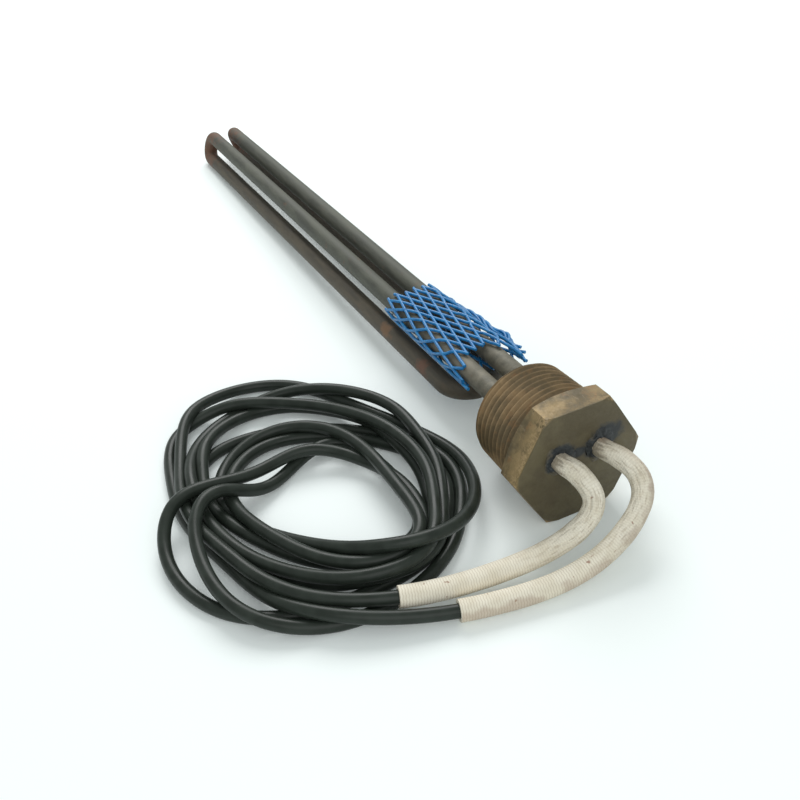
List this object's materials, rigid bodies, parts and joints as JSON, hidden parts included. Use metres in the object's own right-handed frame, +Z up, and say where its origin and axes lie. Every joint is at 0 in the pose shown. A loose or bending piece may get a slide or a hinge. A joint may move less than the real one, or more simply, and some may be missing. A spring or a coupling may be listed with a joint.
{
  "type": "screw plug immersion heater",
  "caption": "Hex head taper-thread plug carrying a folded tubular heating element with a net sleeve, and two sleeved flexible leads gathered in a loose coil.",
  "frame": {"origin": "on the surface that the heater lies on, under the middle of the plug and element together", "axes": "+Y along the element from the hexagon head to the far tips, +Z up with a flat of the hexagon down, +X to the right seen from the head"},
  "size_m": [0.1249, 0.3481, 0.0352],
  "materials": {
    "plug_brass": "aged, dull",
    "sheath_steel": "heat darkened with rust",
    "magnesia": "compacted powder",
    "resistance_alloy": "drawn",
    "pin_steel": "drawn",
    "end_seal": "matte",
    "braze_alloy": "satin",
    "tinned_copper": "tinned",
    "potting": "semi-gloss",
    "fibreglass": "braided, stained",
    "lead_insulation": "semi-gloss",
    "net_plastic": "semi-gloss"
  },
  "bodies": {
    "root": {"screw_plug": "plug_brass", "element_sheath": "sheath_steel", "magnesia_fill": "magnesia", "resistance_coil": "resistance_alloy", "cold_pin_left": "pin_steel", "cold_pin_right": "pin_steel", "end_seal_left": "end_seal", "end_seal_right": "end_seal", "braze_ring_left": "braze_alloy", "braze_ring_right": "braze_alloy", "crimp_ferrule_left": "tinned_copper", "crimp_ferrule_right": "tinned_copper", "conductor_left": "tinned_copper", "conductor_right": "tinned_copper", "potting_left": "potting", "potting_right": "potting", "fibreglass_sleeve_left": "fibreglass", "fibreglass_sleeve_right": "fibreglass", "lead_left": "lead_insulation", "lead_right": "lead_insulation", "lead_coil": "lead_insulation", "net_sleeve": "net_plastic"}
  },
  "joints": []
}
